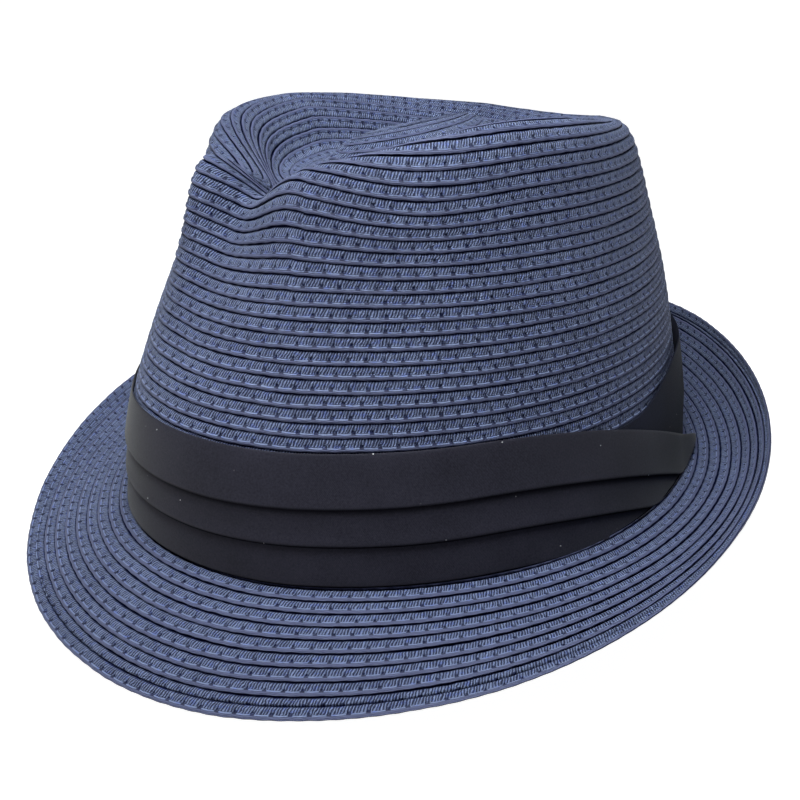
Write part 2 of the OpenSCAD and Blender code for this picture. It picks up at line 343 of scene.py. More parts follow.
# ---------------------------------------------------------------- materials
def new_material(name):
    """A material with its node tree and its main shader."""
    mat = bpy.data.materials.new(name)
    mat.use_nodes = True
    tree = mat.node_tree
    return mat, tree, tree.nodes["Principled BSDF"]


class Nodes:
    """Short ways to add and join shader nodes in one tree."""

    def __init__(self, tree):
        self.tree = tree

    def add(self, kind, **settings):
        node = self.tree.nodes.new(kind)
        for key, value in settings.items():
            setattr(node, key, value)
        return node

    def put(self, socket, value):
        if hasattr(value, "is_output"):
            self.tree.links.new(value, socket)
        else:
            socket.default_value = value

    def math(self, operation, a, b=0.0, c=0.0):
        node = self.add("ShaderNodeMath", operation=operation)
        for socket, value in zip(node.inputs, (a, b, c)):
            self.put(socket, value)
        return node.outputs[0]

    def value(self, name):
        return self.add("ShaderNodeAttribute", attribute_name=name).outputs["Fac"]

    def band(self, x, low, high, soft):
        """1 between low and high, falling smoothly to 0 over soft."""
        rise = self.ramp(x, low - soft, low)
        fall = self.ramp(x, high, high + soft)
        return self.math("SUBTRACT", rise, fall)

    def ramp(self, x, low, high):
        node = self.add("ShaderNodeMapRange", interpolation_type="SMOOTHSTEP")
        for key, value in zip(("Value", "From Min", "From Max"), (x, low, high)):
            self.put(node.inputs[key], value)
        return node.outputs["Result"]

    def wave(self, x, period):
        """0 to 1 and back once each period."""
        turns = self.math("MULTIPLY", x, TAU / period)
        return self.math("MULTIPLY_ADD", self.math("SINE", turns), 0.5, 0.5)

    def noise(self, scale, detail=2.0, vector=None):
        node = self.add("ShaderNodeTexNoise")
        self.put(node.inputs["Scale"], scale)
        self.put(node.inputs["Detail"], detail)
        if vector is not None:
            self.put(node.inputs["Vector"], vector)
        return node.outputs["Fac"]

    def pair(self, x, y, z=0.0):
        node = self.add("ShaderNodeCombineXYZ")
        for socket, value in zip(node.inputs, (x, y, z)):
            self.put(socket, value)
        return node.outputs[0]

    def mix(self, share, a, b):
        node = self.add("ShaderNodeMix", data_type="RGBA")
        self.put(node.inputs["Factor"], share)
        self.put(node.inputs["A"], a)
        self.put(node.inputs["B"], b)
        return node.outputs["Result"]

    def bump(self, height, distance, strength=1.0):
        node = self.add("ShaderNodeBump")
        self.put(node.inputs["Height"], height)
        node.inputs["Distance"].default_value = distance
        node.inputs["Strength"].default_value = strength
        return node.outputs["Normal"]

    def position(self):
        return self.add("ShaderNodeTexCoord").outputs["Object"]


TICK = 0.78
STITCH = 4.7
# What lies across one row, in mm from its covered edge.
# Painted shade in the crease where a row comes out from under the row above.
CREASE_SHADE_SPAN = (0.32, 0.88)
STRANDS = (0.35, 2.35)
HOLE_LINE = (2.34, 2.67)
STITCH_LINE = (2.66, 2.92)
EDGE_START = (2.95, 3.15)
# Painted shade on the underside of the rolled lip.
LIP_SHADE_SPAN = (3.74, 3.88)
# Shares of one repeat that the long stitch covers, and that have no hole.
STITCH_SPAN = (0.16, 0.84)
NO_HOLE_SPAN = (0.12, 0.88)
# Dark and light of the strands (their range also holds painted shade and highlight), of the bluer stretches
# and of the rolled edge, and the painted shade in creases, holes and under the lip.
STRAND_DARK, STRAND_LIGHT = (0.008, 0.011, 0.042, 1), (0.150, 0.185, 0.325, 1)
BLUE_DARK, BLUE_LIGHT = (0.009, 0.014, 0.070, 1), (0.110, 0.150, 0.380, 1)
EDGE_DARK, EDGE_LIGHT = (0.026, 0.032, 0.085, 1), (0.108, 0.120, 0.225, 1)
GROOVE_SHADE = (0.0016, 0.0030, 0.0240, 1)


def braid_material():
    """Plaited paper: slanted strands over the upper part of each row, a hole and a long stitch at each
    repeat, and a smooth rolled edge. Its colour also holds painted shade in the creases, the holes and
    under the lip, and painted shade and highlight across the strands."""
    mat, tree, shader = new_material("braid")
    n = Nodes(tree)
    along, across = n.value("along"), n.value("across")
    drift = n.noise(0.8, 2.0, n.pair(along, n.math("MULTIPLY", across, 0.8)))
    slanted = n.math("MULTIPLY_ADD", across, 0.38, n.math("MULTIPLY_ADD", drift, 0.9, along))
    strand = n.math("POWER", n.wave(slanted, TICK), 1.2)
    strands_zone = n.band(across, *STRANDS, 0.25)
    share = n.math("FRACT", n.math("DIVIDE", along, STITCH))
    repeat = n.math("FLOOR", n.math("ADD", n.math("DIVIDE", along, STITCH), 0.5))
    luck = n.add("ShaderNodeTexWhiteNoise", noise_dimensions="1D")
    n.put(luck.inputs["W"], repeat)
    open_hole = n.math("MULTIPLY_ADD", luck.outputs["Value"], 0.40, 0.60)
    stitch_zone = n.band(across, *STITCH_LINE, 0.15)
    stitch = n.math("MULTIPLY", n.band(share, *STITCH_SPAN, 0.08), stitch_zone)
    hole_across = n.band(n.math("MULTIPLY_ADD", drift, 0.6, across), *HOLE_LINE, 0.35)
    hole_along = n.math("SUBTRACT", 1.0, n.band(share, *NO_HOLE_SPAN, 0.07))
    hole = n.math("MULTIPLY", n.math("MULTIPLY", hole_across, hole_along), open_hole)
    lines = n.wave(n.math("MULTIPLY_ADD", drift, 0.5, across), 0.42)
    edge_zone = n.ramp(across, *EDGE_START)
    height = n.math("MULTIPLY", strand, strands_zone)
    height = n.math("ADD", height, n.math("MULTIPLY", stitch, 0.9))
    height = n.math("ADD", height, n.math("MULTIPLY", n.math("MULTIPLY", lines, edge_zone), 0.35))
    height = n.math("SUBTRACT", height, n.math("MULTIPLY", hole, 1.6))
    fibre = n.noise(1.0, 3.0, n.pair(n.math("MULTIPLY", along, 0.9), n.math("MULTIPLY", across, 6.0)))
    height = n.math("ADD", height, n.math("MULTIPLY", fibre, 0.5))
    each = n.add("ShaderNodeTexWhiteNoise", noise_dimensions="1D")
    n.put(each.inputs["W"], n.math("FLOOR", n.math("DIVIDE", slanted, TICK)))
    patch = n.noise(42.0, 2.0, n.position())
    tone = n.math("MULTIPLY_ADD", each.outputs["Value"], 0.45, n.math("MULTIPLY_ADD", fibre, 0.7, -0.75))
    tone = n.math("ADD", tone, n.math("MULTIPLY_ADD", patch, 0.5, -0.25))
    # Painted shade and highlight: the strands' tone follows their height, lighter on the crests and darker
    # between them.
    tone = n.math("ADD", tone, n.math("MULTIPLY", n.math("MULTIPLY", strand, strands_zone), 1.35))
    tone = n.math("ADD", tone, n.math("MULTIPLY", stitch, n.value("dash")))
    colour = n.mix(tone, STRAND_DARK, STRAND_LIGHT)
    tint = n.noise(0.5, 1.0, n.pair(along, n.math("MULTIPLY", across, 2.0)))
    blue = n.mix(tone, BLUE_DARK, BLUE_LIGHT)
    colour = n.mix(n.ramp(tint, 0.50, 0.75), colour, blue)
    edge_tone = n.math("ADD", n.math("MULTIPLY_ADD", lines, 0.35, 0.05), n.math("MULTIPLY", fibre, 0.6))
    colour = n.mix(edge_zone, colour, n.mix(edge_tone, EDGE_DARK, EDGE_LIGHT))
    # Painted shade: dark in the crease under the row above and under the rolled lip, weaker where the rows
    # lie flatter.
    crease_shade = n.math("SUBTRACT", 1.0, n.ramp(across, *CREASE_SHADE_SPAN))
    lip_shade = n.ramp(across, *LIP_SHADE_SPAN)
    crease_shade = n.math("MULTIPLY", n.math("MAXIMUM", crease_shade, lip_shade), n.value("relief"))
    # Painted shade in the holes and creases: near-black blue, with gloss and sheen turned down there.
    groove_shade = n.math("MAXIMUM", n.math("MULTIPLY", hole, 0.9), n.math("MULTIPLY", crease_shade, 0.97))
    colour = n.mix(groove_shade, colour, GROOVE_SHADE)
    n.put(shader.inputs["Base Color"], colour)
    n.put(shader.inputs["Roughness"], n.math("MULTIPLY_ADD", fibre, 0.2, 0.5))
    n.put(shader.inputs["Specular IOR Level"], n.math("MULTIPLY_ADD", groove_shade, -0.26, 0.28))
    n.put(shader.inputs["Sheen Weight"], n.math("MULTIPLY_ADD", groove_shade, -0.10, 0.10))
    shader.inputs["Sheen Roughness"].default_value = 0.5
    shader.inputs["Sheen Tint"].default_value = (0.75, 0.8, 1, 1)
    n.put(shader.inputs["Normal"], n.bump(height, 0.00032, 0.9))
    return mat


def cloth_material(name, dark, light, pitch, twill, rough, sheen, lint=0.0):
    """Fine woven cloth. pitch is the thread spacing in mm, twill how far each row of the weave steps and
    lint how clearly the odd speck of dust shows."""
    mat, tree, shader = new_material(name)
    n = Nodes(tree)
    along, across = n.value("along"), n.value("across")
    warp = n.wave(n.math("MULTIPLY_ADD", across, twill, along), pitch)
    weft = n.wave(across, pitch * 0.8)
    weave = n.math("MULTIPLY_ADD", warp, 0.6, n.math("MULTIPLY", weft, 0.4))
    soft = n.noise(60.0, 3.0, n.position())
    fuzz = n.noise(1900.0, 2.0, n.position())
    uneven = n.math("MULTIPLY_ADD", soft, 0.7, n.math("MULTIPLY", fuzz, 0.9))
    tone = n.math("SUBTRACT", n.math("MULTIPLY_ADD", weave, 0.35, uneven), 0.62)
    colour = n.mix(tone, dark, light)
    # Painted shade: the cloth goes near black in the tucks and at the foot.
    tuck_shade = n.value("tuck_shade")
    colour = n.mix(tuck_shade, colour, (0.0008, 0.0009, 0.0020, 1))
    if lint:
        specks = n.add("ShaderNodeTexVoronoi", feature="F1", voronoi_dimensions="2D")
        n.put(specks.inputs["Scale"], 0.13)
        n.put(specks.inputs["Vector"], n.pair(along, across))
        rare = n.math("GREATER_THAN", n.math("FRACT", n.math("MULTIPLY", specks.outputs["Color"], 7.3)), 0.78)
        dot = n.math("LESS_THAN", specks.outputs["Distance"], 0.024)
        clear = n.math("POWER", n.math("FRACT", n.math("MULTIPLY", specks.outputs["Color"], 23.9)), 2.0)
        speck = n.math("MULTIPLY", n.math("MULTIPLY", dot, rare), n.math("MULTIPLY", clear, lint))
        colour = n.mix(speck, colour, (0.55, 0.55, 0.58, 1))
    n.put(shader.inputs["Base Color"], colour)
    n.put(shader.inputs["Roughness"], n.math("MULTIPLY_ADD", soft, 0.12, rough))
    # Gloss and sheen are turned down in the painted shade of the tucks.
    n.put(shader.inputs["Specular IOR Level"], n.math("MULTIPLY_ADD", tuck_shade, -0.14, 0.14))
    n.put(shader.inputs["Sheen Weight"], n.math("MULTIPLY_ADD", tuck_shade, -sheen, sheen))
    shader.inputs["Sheen Roughness"].default_value = 0.45
    height = n.math("MULTIPLY_ADD", fuzz, 0.5, weave)
    n.put(shader.inputs["Normal"], n.bump(height, 0.00004, 0.6))
    return mat


def stage_material(name, glow):
    """Plain matt grey that also gives out an even white light."""
    mat, tree, shader = new_material(name)
    n = Nodes(tree)
    tone = n.noise(3.0, 2.0, n.position())
    n.put(shader.inputs["Base Color"], n.mix(tone, (0.34, 0.34, 0.34, 1), (0.36, 0.36, 0.36, 1)))
    shader.inputs["Roughness"].default_value = 0.9
    shader.inputs["Specular IOR Level"].default_value = 0.0
    shader.inputs["Emission Color"].default_value = (1, 1, 1, 1)
    shader.inputs["Emission Strength"].default_value = glow
    return mat


BRAID = braid_material()
BAND_CLOTH = cloth_material("band_sateen", (0.0070, 0.0065, 0.0135, 1), (0.0275, 0.0260, 0.0420, 1),
                            0.42, 0.6, 0.66, 0.10, lint=1.0)
# The ribbon's colours are darker than the folds' cloth and its sheen lower: painted shade on the bare band at
# the back.
RIBBON_CLOTH = cloth_material("ribbon_cloth", (0.0030, 0.0037, 0.0110, 1), (0.0112, 0.0130, 0.0295, 1),
                              0.36, 0.0, 0.80, 0.03, lint=0.5)
LINING = cloth_material("sweatband_twill", (0.008, 0.010, 0.018, 1), (0.030, 0.034, 0.054, 1),
                        0.55, 1.0, 0.8, 0.2)
THREAD = cloth_material("thread", (0.03, 0.034, 0.06, 1), (0.08, 0.09, 0.13, 1), 0.25, 1.0, 0.7, 0.2)

# ---------------------------------------------------------------- braid
# Outline of one row of braid: across from its covered edge towards the brim, and height from the face.
# The covered edge starts inside the row before, so no light comes through between two rows.
ROW_FACE = [(-1.50, -0.55), (-0.20, -0.74), (0.05, -0.64), (0.30, -0.42), (0.60, -0.12), (1.00, 0.04),
            (1.40, 0.11), (1.80, 0.11), (2.15, 0.07), (2.40, 0.08), (2.70, 0.22), (2.98, 0.32),
            (3.28, 0.37), (3.58, 0.34), (3.80, 0.20), (3.87, 0.00)]
ROW_BACK = [(3.70, -0.22), (2.9, -0.62), (0.9, -1.25), (-0.9, -1.45)]
ROW_OUTLINE = np.array(ROW_FACE + ROW_BACK)
HOLE_POINTS = np.interp(ROW_OUTLINE[:, 0], [1.6, 2.0, 2.25, 2.45, 2.75], [0, 0.75, 1.0, 0.75, 0])
HOLE_POINTS[len(ROW_FACE):] = 0
STITCH_POINTS = np.interp(ROW_OUTLINE[:, 0], [2.45, 2.72, 2.9, 3.1], [0, 1.0, 0.8, 0])
STITCH_POINTS[len(ROW_FACE):] = 0
HOLE_DEPTH, HOLE_REACH = 0.42, 0.10
DASH_TOP, DASH_FULL = 0.75, 1.3
STITCH_RISE = 0.12
FACE_DEPTH, COVERED_DEPTH = -0.7, -0.9


def relief(turn):
    """How proud the rows stand: nearly flat at the tip, where the turns were pressed, and full below."""
    return 0.35 + 0.65 * ease((turn - 4.5) / 9.0)


def row_sections(turn, column, face, place, limit=None, prouder=None):
    """Sections of braid at the given turns: place gives across distances and face turns them into points.
    Past limit the section stays under the next row, and prouder scales how far its face stands up."""
    across = np.repeat(ROW_OUTLINE[None, :, 0], len(turn), 0)
    n = np.repeat(ROW_OUTLINE[None, :, 1], len(turn), 0)
    if prouder is not None:
        n = np.where(n > FACE_DEPTH, n * prouder[:, None], n)
    cols = np.repeat(column[:, None], across.shape[1], 1)
    centre = face(place(turn, column, 2.0)[:, None], column[:, None], np.zeros((len(turn), 1)))[:, 0]
    step = np.linalg.norm(np.diff(centre, axis=0), axis=1)
    along = np.concatenate([[0], np.cumsum(step)])
    share = (along / STITCH) % 1.0
    near_hole = np.exp(-(np.minimum(share, 1 - share) / HOLE_REACH) ** 2)
    n = n - HOLE_DEPTH * near_hole[:, None] * HOLE_POINTS
    n = n + STITCH_RISE * ease((0.5 - np.abs(share - 0.5)) / 0.2)[:, None] * STITCH_POINTS
    seed = int(turn[0] * 7) + 60
    n = n + 0.07 * wander(seed, 23, len(turn))[:, None]
    edge = 0.10 * wander(seed + 50, 31, len(turn)) + 0.06 * wander(seed + 90, 9, len(turn))
    edge = edge - 0.05 * np.cos(TAU * share)
    ends = place(turn[:, None], cols, across + edge[:, None])
    if limit is not None:
        n = np.where(ends > limit, np.minimum(n, COVERED_DEPTH), n)
        ends = np.minimum(ends, limit)
    points = face(ends, cols, n)
    return points, along, across


# Where the rows run higher or lower round the pinched front: how far, the direction and its reach.
ROW_WAVES = [(3.0, -62, 13), (-3.0, -34, 15), (-1.2, -99, 13)]
WAVE_TURN, WAVE_REACH = 19.5, 5.0
SPARE_TURNS = 16.0


def crown_place(turn, column, across):
    """Distance from the tip of a point of the row at turn, counted in turns from the tip."""
    a = angles[column]
    lift = sum(size * bump(a, math.radians(centre), math.radians(reach)) for size, centre, reach in ROW_WAVES)

    def upper(v):
        spare = crown_total[column] - TURNS * ROW_WIDTH
        wave = lift * np.exp(-((v - WAVE_TURN) / WAVE_REACH) ** 2)
        return v * ROW_WIDTH + spare * ease(v / SPARE_TURNS) - wave
    start = upper(turn)
    return np.maximum(start + across / ROW_WIDTH * (upper(turn + 1) - start), 0.02)


def brim_place(turn, column, across):
    """Distance from the crown's foot, which is the same in every direction on the brim."""
    return turn * ROW_WIDTH + across


def braid_values(along, across, proud, dash):
    """Vertex values that the braid's material reads."""
    spread = np.zeros(across.shape)
    return {"along": along[:, None] + spread, "across": across, "relief": proud + spread,
            "dash": dash + spread}


def braid_piece(name, first, last, stride, face, place, replaces=(), limit=None):
    """One stretch of the spiral of braid, between two counts of turns."""
    index = np.arange(round(first * COLUMNS), round(last * COLUMNS) + 1, stride)
    turn, column = index / COLUMNS, index % COLUMNS
    on_crown = face is crown_face
    proud = relief(turn) if on_crown else np.ones(len(turn))
    points, along, across = row_sections(turn, column, face, place, limit, proud)
    dash = DASH_TOP + (DASH_FULL - DASH_TOP) * ease((turn - 24) / 12) if on_crown else DASH_FULL * proud
    values = braid_values(along, across, proud[:, None], dash[:, None])
    faces = tube_faces(len(turn), points.shape[1], False)
    return make_mesh(name, points.reshape(-1, 3), faces, values, BRAID, replaces)


# Turns of the crown's spiral that the hatband hides, turns in each piece of its side, and where the side
# starts. The hidden turns and the pressed tip take coarser steps.
HIDDEN_TURNS = 9
SIDE_START, SIDE_TURNS = 12.0, 4.0


def build_crown():
    """The spiral from the tip to the brim, in pieces small enough to keep every face in the export."""
    covered = TURNS - HIDDEN_TURNS
    braid_piece("braid_tip", -1.0, 1.5, 3, crown_face, crown_place, ["crown_tip"])
    braid_piece("braid_top_1", 1.5, 8.0, 2, crown_face, crown_place, ["crown_top"])
    braid_piece("braid_top_2", 8.0, SIDE_START, 1, crown_face, crown_place)
    starts = list(np.arange(SIDE_START, covered, SIDE_TURNS)) + [float(covered)]
    for i, (first, last) in enumerate(zip(starts, starts[1:])):
        braid_piece("braid_side_%d" % (i + 1), first, last, 1, crown_face, crown_place,
                    ["crown_side"] if i == 0 else ())
    braid_piece("braid_under_band", float(covered), TURNS - 0.25, 4, crown_face, crown_place)


def build_brim():
    """The spiral on the brim, which starts under the hatband, and the last row round its edge."""
    rows = BRIM_WIDTH / ROW_WIDTH
    first, last = rows - 10.9, rows - 1.05
    half = (first + last) / 2
    limit = (rows - 1) * ROW_WIDTH + 0.1
    braid_piece("brim_rows_1", first, half, 1, brim_face, brim_place, ["brim"], limit)
    braid_piece("brim_rows_2", half, last, 1, brim_face, brim_place, (), limit)
    index = np.arange(COLUMNS)
    edge_start = rows - 1.0

    def edge_place(turn, column, across):
        return edge_start * ROW_WIDTH + across - 0.1 + 0 * turn
    points, along, across = row_sections(index / COLUMNS, index, brim_face, edge_place)
    faces = tube_faces(COLUMNS, points.shape[1], True)
    values = braid_values(along, across, 1, DASH_FULL)
    make_mesh("brim_edge_braid", points.reshape(-1, 3), faces, values, BRAID, ["brim_edge_row"])


# ---------------------------------------------------------------- hatband
def smooth_path(points, per_span=5):
    """Catmull-Rom curve through the points."""
    p = np.array(points, float)
    p = np.concatenate([2 * p[:1] - p[1:2], p, 2 * p[-1:] - p[-2:-1]], 0)
    out = []
    for i in range(1, len(p) - 2):
        for k in range(per_span):
            u = k / per_span
            out.append(0.5 * (2 * p[i] + (p[i + 1] - p[i - 1]) * u
                              + (2 * p[i - 1] - 5 * p[i] + 4 * p[i + 1] - p[i + 2]) * u * u
                              + (3 * p[i] - p[i - 1] - 3 * p[i + 1] + p[i + 2]) * u ** 3))
    out.append(p[-2])
    return np.array(out)


# The folded cloth from its top edge to its foot: height above the brim, and distance outside the braid.
# It doubles back under itself twice, which makes the three folds.
FOLD_PATH = [(33.0, 0.62), (35.7, 0.66), (36.5, 0.90), (36.0, 1.22), (33.0, 1.36), (28.5, 1.50), (24.5, 1.76),
             (22.9, 1.92), (22.2, 1.74), (22.6, 1.24), (24.4, 0.98), (24.7, 0.80), (23.6, 0.82), (19.5, 1.10),
             (15.5, 1.38), (12.8, 1.74), (11.7, 1.58), (12.1, 1.05), (13.8, 0.82), (14.0, 0.70), (12.6, 0.74),
             (8.0, 1.02), (4.0, 1.26), (1.5, 1.34), (0.3, 1.26), (-0.4, 0.95), (-0.3, 0.72)]
# Painted shade at distances along that path: how dark the cloth is painted where it is shut in the two tucks
# and at the foot.
TUCK_PLACES = [17.5, 18.2, 24.0, 25.2, 33.3, 34.0, 39.2, 40.4, 49.9, 50.6]
TUCK_SHADE_LEVELS = [0, 1, 1, 0, 0, 1, 1, 0, 0, 1]
# How the folds run down into the seam: from FOLD_START degrees short of square to the front, and how fast.
FOLD_START = 30.0
FOLD_RATE = 0.0105
FOLD_HALF_ANGLE = 117.5
FOLD_FLOOR, FOLD_SOFT = -0.2, 1.5
LEAST_STAND = 0.62
GIRTH_AT_BAND = 590.0
CLOTH_THICKNESS = 0.28
# The free upper corner at the wearer's left: where it starts to part, in degrees, and then to lift.
PART_START, PART_REACH, PART_STAND = 6, 14, 1.3
LIFT_START, LIFT_REACH, LIFT_STAND, LIFT_RISE = 17, 11, 2.6, 2.0


def looseness(a, height):
    """How far the band stands off the crown on the wearer's left, where the crown draws in above its foot."""
    return 2.3 * bump(a, math.radians(34), math.radians(26)) * ease(height / 24)


def build_folds():
    """Front of the hatband: one cloth in three folds, whose ends run down into the brim seam."""
    path = smooth_path(FOLD_PATH)
    low = int(round((-90 - FOLD_HALF_ANGLE) / 360 * COLUMNS))
    high = int(round((-90 + FOLD_HALF_ANGLE) / 360 * COLUMNS))
    index = np.arange(low, high + 1, 2)
    degrees = index * 360 / COLUMNS
    drop = FOLD_RATE * np.maximum(0, np.abs(degrees + 90) - 90 + FOLD_START) ** 2
    folded = ease((np.abs(degrees + 55) - 75) / -45.0) * 0.6 + 0.4
    mean = np.interp(path[:, 0], [0.6, BAND_HEIGHT], [1.15, 1.2])
    stands = mean + (path[None, :, 1] - mean) * (0.55 + 0.75 * folded[:, None])
    waver = wander(5, 41, len(index))[:, None] * 0.45 * np.sin(path[None, :, 0] / BAND_HEIGHT * math.pi)
    sag = wander(9, 60, len(index))[:, None] * 0.12
    heights = path[None, :, 0] + waver - drop[:, None]
    bend = FOLD_FLOOR + FOLD_SOFT
    heights = np.where(heights < bend, FOLD_FLOOR + FOLD_SOFT * np.exp((heights - bend) / FOLD_SOFT), heights)
    stands = np.maximum(stands + sag, LEAST_STAND) + looseness(np.radians(degrees)[:, None], heights)
    upper_part = ease(path[None, :, 0] / BAND_HEIGHT)
    part = ease((degrees[:, None] - PART_START) / PART_REACH)
    lift = ease((degrees[:, None] - LIFT_START) / LIFT_REACH)
    stands = stands + (PART_STAND * part + LIFT_STAND * lift) * upper_part
    heights = heights + LIFT_RISE * lift * upper_part
    column = np.repeat((index % COLUMNS)[:, None], len(path), 1)
    points = wall_face(heights, column, stands)
    run = np.concatenate([[0], np.cumsum(np.hypot(*np.diff(path, axis=0).T))])
    along = degrees / 360 * GIRTH_AT_BAND
    # Painted shade of the tucks and the foot, fading to faint towards the wearer's right, where the folds are
    # shallow.
    depth = np.interp(run, TUCK_PLACES, TUCK_SHADE_LEVELS)
    fade = 0.12 + 0.88 * ease((degrees + 118) / 26)
    values = {"along": np.repeat(along[:, None], len(path), 1), "across": np.repeat(run[None], len(index), 0),
              "tuck_shade": fade[:, None] * depth[None]}
    faces = sheet_faces(len(index), len(path), False)
    piece = make_mesh("band_folds", points.reshape(-1, 3), faces, values, BAND_CLOTH,
                      ["band_fold_upper", "band_fold_middle", "band_fold_lower"])
    thicken(piece, CLOTH_THICKNESS, -1)
    return piece


def build_ribbon():
    """Plain ribbon round the crown, under the folds and bare at the back."""
    index = np.arange(0, COLUMNS, 4)
    a = angles[index]
    top = RIBBON_FRONT + (RIBBON_BACK - RIBBON_FRONT) * ease((np.sin(a) - 0.02) / 0.42)
    outline = [(0.0, 0.10), (0.0, 0.42), (0.02, 0.50), (0.25, 0.56), (0.5, 0.58), (0.75, 0.56), (0.98, 0.50),
               (1.0, 0.42), (1.0, 0.10)]
    share = np.array([p[0] for p in outline])[None]
    stand = np.array([p[1] for p in outline])[None] + wander(21, 15, len(index))[:, None] * 0.03
    height = SEAM_HEIGHT + (top[:, None] - SEAM_HEIGHT) * share
    stand = stand + looseness(a[:, None], height)
    column = np.repeat(index[:, None], len(outline), 1)
    points = wall_face(height, column, stand)
    along = np.repeat((a / TAU * GIRTH_AT_BAND)[:, None], len(outline), 1)
    faces = tube_faces(len(index), len(outline), True)
    piece = make_mesh("band_ribbon_cloth", points.reshape(-1, 3), faces, {"along": along, "across": height},
                      RIBBON_CLOTH, ["band_ribbon"])
    return piece


# ---------------------------------------------------------------- sweatband
# Its section: height above the crown's foot, and distance inwards from its outer face.
SWEATBAND_OUTLINE = [(0.2, 0), (10, 0), (20, 0), (28.8, 0), (29.8, 0.15), (30.2, 0.5), (29.8, 0.9),
                     (28.6, 1.05), (27.4, 0.98), (26.8, 0.80), (20, 0.78), (10, 0.86), (4.2, 0.82),
                     (3.2, 0.95), (1.6, 1.0), (0.2, 0.85)]
SWEATBAND_LENGTH = 585.0
TAPE_THICKNESS = 0.25
STITCH_COUNT, STITCH_RADIUS, STITCH_HEIGHT = 176, 0.24, 2.4


def build_sweatband():
    """Strip of twill inside the crown, with a turned top edge and a seam at the foot."""
    far = -(BRAID_THICKNESS + SWEATBAND_GAP)
    index = np.arange(0, COLUMNS, 4)
    outline = np.array(SWEATBAND_OUTLINE)
    height = outline[None, :, 0] + wander(31, 12, len(index))[:, None] * 0.12
    stand = far - outline[None, :, 1] + wander(33, 9, len(index))[:, None] * 0.06
    column = np.repeat(index[:, None], len(outline), 1)
    points = wall_face(height, column, stand)
    along = np.repeat((angles[index] / TAU * SWEATBAND_LENGTH)[:, None], len(outline), 1)
    faces = tube_faces(len(index), len(outline), True)
    piece = make_mesh("sweatband_cloth", points.reshape(-1, 3), faces, {"along": along, "across": height},
                      LINING, ["sweatband"])
    return far - 1.0


def build_seam(stand):
    """Tape over the joint of the sweatband at the back."""
    low, high = round(85 / 360 * COLUMNS), round(95 / 360 * COLUMNS)
    index = np.arange(low, high + 1)
    across = np.linspace(5, 26, 15)
    u = (index - low) / (high - low)
    swell = np.sin(u * math.pi) ** 0.35 * 0.22
    column = np.repeat(index[:, None], len(across), 1)
    height = np.repeat(across[None], len(index), 0)
    points = wall_face(height, column, np.repeat(stand + 0.12 - swell[:, None], len(across), 1))
    along = np.repeat((u * 10)[:, None], len(across), 1)
    piece = make_mesh("sweatband_tape", points.reshape(-1, 3), sheet_faces(len(index), len(across), False),
                      {"along": along, "across": height}, THREAD, ["sweatband_seam"])
    thicken(piece, TAPE_THICKNESS, 0)


def build_stitches(stand):
    """Running stitches round the foot of the sweatband, each a short curved bar sunk at its ends."""
    rings, sides = 7, 8
    verts, faces, along, across = [], [], [], []
    for i in range(STITCH_COUNT):
        centre = int((i + 0.5) * COLUMNS / STITCH_COUNT)
        reach = COLUMNS / STITCH_COUNT * 0.36
        cols = np.round(centre + np.linspace(-reach, reach, rings)).astype(int) % COLUMNS
        height = np.full(rings, STITCH_HEIGHT)
        sink = np.linspace(-1, 1, rings) ** 4 * 0.28
        middle = wall_face(height, cols, stand - 0.08 + sink)
        out = middle - wall_face(height, cols, stand + 1 + sink)
        up = wall_face(height + 1, cols, stand - 0.08 + sink) - middle
        out /= np.linalg.norm(out, axis=1, keepdims=True)
        up /= np.linalg.norm(up, axis=1, keepdims=True)
        radius = STITCH_RADIUS * np.sqrt(np.maximum(0.05, 1 - np.linspace(-1, 1, rings) ** 6))
        t = np.arange(sides) / sides * TAU
        ring = middle[:, None] + radius[:, None, None] * (np.cos(t)[None, :, None] * out[:, None]
                                                          + np.sin(t)[None, :, None] * up[:, None])
        faces.append(tube_faces(rings, sides, False) + i * rings * sides)
        verts.append(ring.reshape(-1, 3))
        along.append(np.repeat(np.arange(rings) * 0.4, sides))
        across.append(np.tile(np.arange(sides) * 0.1, rings))
    make_mesh("sweatband_thread", np.concatenate(verts), np.concatenate(faces),
              {"along": np.concatenate(along), "across": np.concatenate(across)}, THREAD,
              ["sweatband_stitches"])


# ---------------------------------------------------------------- stage, light and camera
# Glow of the floor that the camera sees, of the floor that lights the hat, and of the backdrop.
FLOOR_GLOW, BOUNCE_GLOW, BACKDROP_GLOW = 0.98, 0.54, 1.0
FLOOR_REACH, BACKDROP_RADIUS = 8.0, 7.6
FLOOR_DEPTH, BOUNCE_DEPTH = 0.0006, 0.0012


def stage_piece(name, verts, faces, glow, seen):
    """Part of the stage that either only the camera sees or only the hat is lit by."""
    mesh = bpy.data.meshes.new(name)
    mesh.from_pydata(verts, [], faces)
    mesh.materials.append(stage_material(name, glow))
    piece = bpy.data.objects.new(name, mesh)
    bpy.context.collection.objects.link(piece)
    piece.visible_camera = seen
    piece.visible_diffuse = piece.visible_glossy = piece.visible_shadow = not seen


def floor_corners(depth):
    """Corners of a floor this far under the hat, in metres."""
    signs = ((-1, -1), (1, -1), (1, 1), (-1, 1))
    return [(x * FLOOR_REACH, y * FLOOR_REACH, CAD_BOX[0][2] - depth) for x, y in signs]


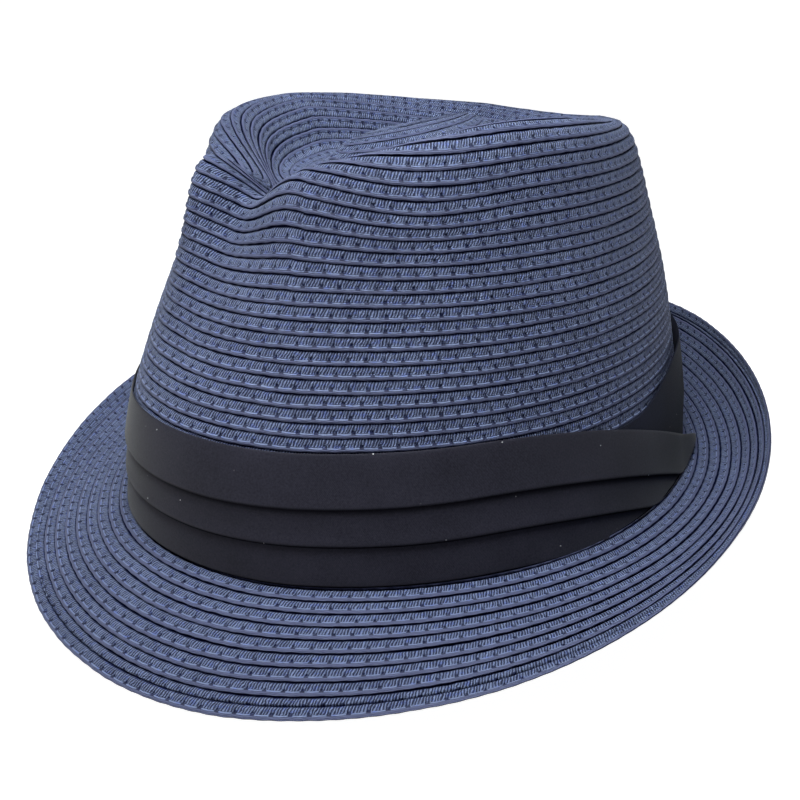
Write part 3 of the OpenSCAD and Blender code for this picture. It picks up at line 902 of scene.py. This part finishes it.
def build_stage():
    """White floor and backdrop for the camera, and a dimmer floor just under them that lights the hat."""
    stage_piece("floor", floor_corners(FLOOR_DEPTH), [(0, 1, 2, 3)], FLOOR_GLOW, True)
    stage_piece("floor_bounce", floor_corners(BOUNCE_DEPTH), [(0, 1, 2, 3)], BOUNCE_GLOW, False)
    rings, around = 16, 48
    rise, turn = np.meshgrid(np.linspace(-0.1, 1.55, rings), np.arange(around) * TAU / around, indexing="ij")
    dome = np.stack([np.cos(rise) * np.cos(turn), np.cos(rise) * np.sin(turn), np.sin(rise)], -1)
    verts = (dome * BACKDROP_RADIUS).reshape(-1, 3).tolist()
    stage_piece("backdrop", verts, sheet_faces(rings, around, True).tolist(), BACKDROP_GLOW, True)


def aim(obj, place, target, roll=0.0):
    """Puts a lamp or camera at a place, turned to its target."""
    direction = Vector(target) - Vector(place)
    spin = Matrix.Rotation(roll, 3, "Z").to_quaternion()
    obj.location = place
    obj.rotation_mode = "QUATERNION"
    obj.rotation_quaternion = direction.to_track_quat("-Z", "Y") @ spin


def add_light(name, place, target, size, power, colour):
    """A round soft lamp, in metres and watts."""
    data = bpy.data.lights.new(name, "AREA")
    data.shape = "DISK"
    data.size = size
    data.energy = power
    data.color = colour
    light = bpy.data.objects.new(name, data)
    bpy.context.collection.objects.link(light)
    aim(light, place, target)


def build_lights():
    """Soft lamps overhead and at the front, in a room that is brightest low down and at the front."""
    add_light("top", (0.05, -0.15, 0.46), (0, 0, 0.05), 0.34, 4.0, (0.94, 1, 0.97))
    add_light("key", (-0.5, -1.3, 0.9), (0, 0, 0.05), 0.9, 1.1, (1, 0.92, 0.74))
    world = bpy.data.worlds.new("studio")
    bpy.context.scene.world = world
    world.use_nodes = True
    n = Nodes(world.node_tree)
    direction = n.add("ShaderNodeTexCoord").outputs["Generated"]
    split = n.add("ShaderNodeSeparateXYZ")
    n.put(split.inputs[0], direction)
    x, y, z = split.outputs
    warm_side = n.math("ADD", n.math("MULTIPLY", x, -0.76), n.math("MULTIPLY", y, -0.65))
    warm = n.ramp(warm_side, -0.7, 0.6)
    low_down = n.math("MULTIPLY_ADD", n.ramp(z, 0.16, 0.45), -0.6, 1.0)
    strength = n.math("MULTIPLY", low_down, n.math("MULTIPLY_ADD", warm, 0.10, 0.24))
    background = world.node_tree.nodes["Background"]
    n.put(background.inputs["Color"], n.mix(warm, (0.82, 0.97, 1.15, 1), (1, 0.94, 0.76, 1)))
    n.put(background.inputs["Strength"], strength)


def build_camera():
    """Camera a little to the wearer's left of the front, looking slightly down."""
    azimuth, elevation, roll = math.radians(40.28), math.radians(19.08), math.radians(0.96)
    distance = 0.3397
    target = Vector((0.00012, -0.00245, 0.04))
    back = Vector((math.sin(azimuth) * math.cos(elevation), -math.cos(azimuth) * math.cos(elevation),
                   math.sin(elevation)))
    data = bpy.data.cameras.new("camera")
    data.sensor_width = 36
    data.lens = 45.0
    data.shift_x, data.shift_y = -0.0245, -0.0906
    camera = bpy.data.objects.new("camera", data)
    bpy.context.collection.objects.link(camera)
    aim(camera, target + back * distance, target, roll)
    data.clip_start, data.clip_end = 0.01, 30
    bpy.context.scene.camera = camera
    bpy.context.scene.view_settings.view_transform = "Standard"


build_camera()
build_stage()
build_lights()
build_crown()
build_brim()
build_ribbon()
build_folds()
lining_stand = build_sweatband()
build_seam(lining_stand)
build_stitches(lining_stand)
